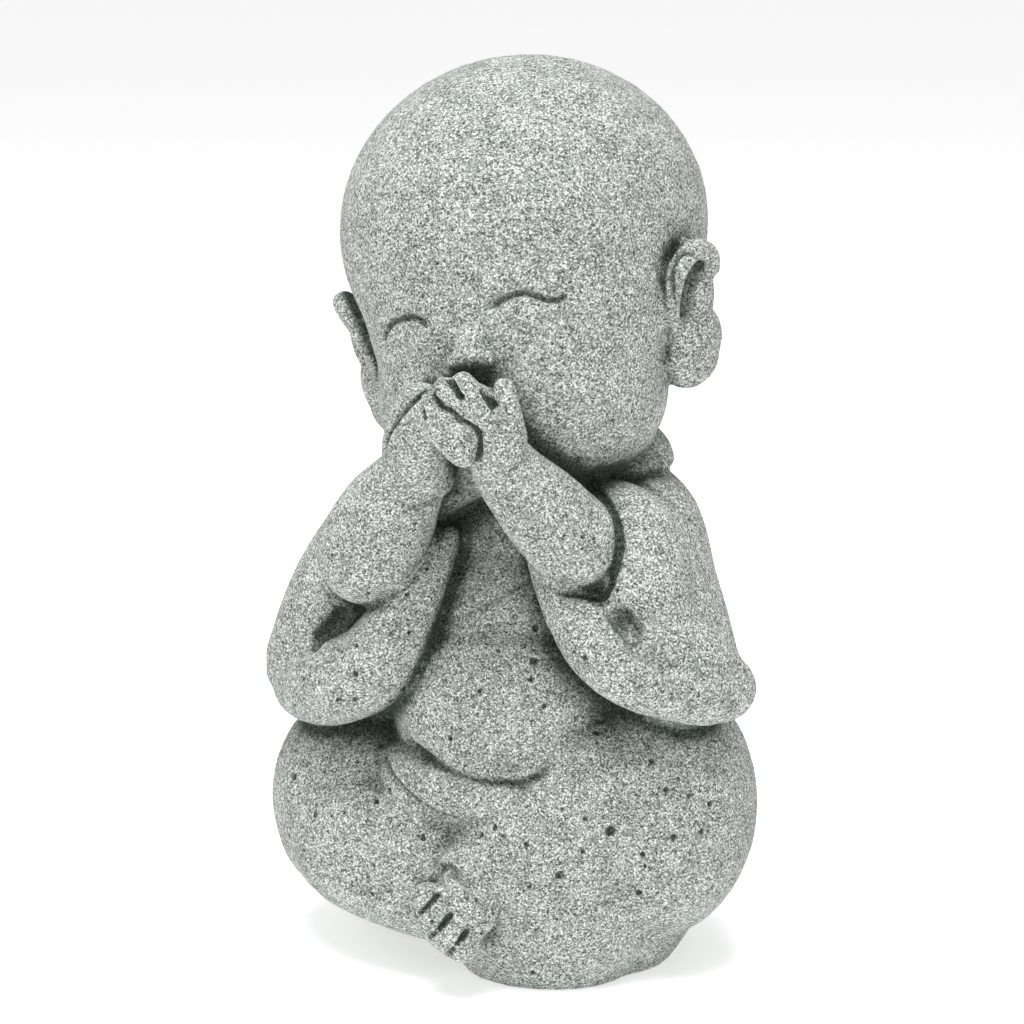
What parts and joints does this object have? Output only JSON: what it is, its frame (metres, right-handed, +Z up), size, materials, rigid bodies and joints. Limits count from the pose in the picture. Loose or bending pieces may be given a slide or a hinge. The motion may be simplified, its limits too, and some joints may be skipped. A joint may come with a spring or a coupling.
{
  "type": "seated monk statue",
  "caption": "Seated bald child monk in a wide-sleeved robe with both hands over the mouth, cast in one piece with a flat underside.",
  "frame": {"origin": "on the floor, under the middle of the statue's outline seen from above", "axes": "+Z up; the statue faces -Y, so its left side is +X"},
  "size_m": [0.1166, 0.0988, 0.2],
  "materials": {
    "cast_mortar": "matt, speckled with light and dark sand grains, with small air-bubble pores"
  },
  "bodies": {
    "root": {"monk_statue": "cast_mortar"}
  },
  "joints": []
}
